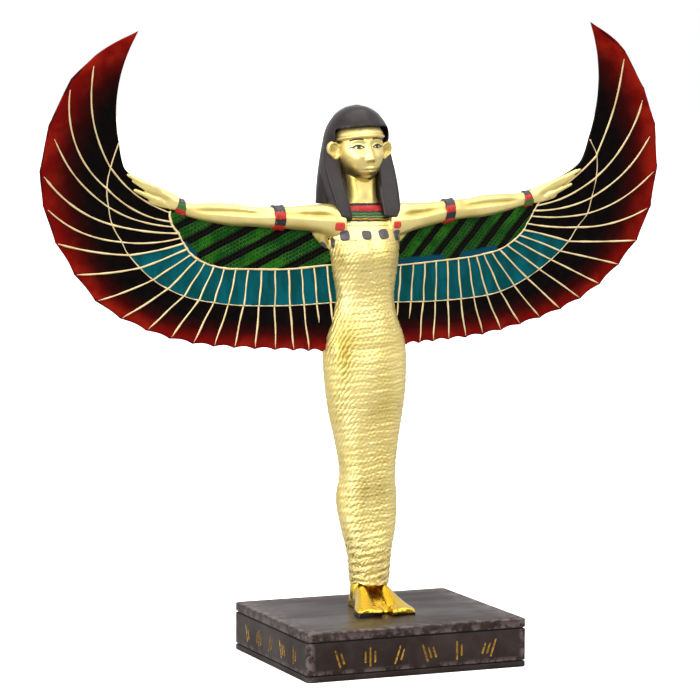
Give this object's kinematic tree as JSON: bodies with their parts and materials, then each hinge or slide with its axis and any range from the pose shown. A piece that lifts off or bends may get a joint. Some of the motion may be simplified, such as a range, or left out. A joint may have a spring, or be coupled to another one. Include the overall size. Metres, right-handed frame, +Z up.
{
  "type": "winged goddess statue",
  "caption": "Standing winged goddess in a long scaled dress, arms spread along raised feathered wings, on a rectangular plinth.",
  "frame": {"origin": "centre of the plinth's underside", "axes": "+Z up; the figure faces -Y; +X to the viewer's right, along the span of the wings"},
  "size_m": [0.3336, 0.0966, 0.3153],
  "materials": {
    "gold_paint": "gloss",
    "plinth_paint": "satin",
    "wing_paint": "gloss",
    "wig_paint": "satin",
    "enamel_paint": "gloss"
  },
  "bodies": {
    "root": {"figure": "gold_paint", "plinth": "plinth_paint"}
  },
  "joints": []
}
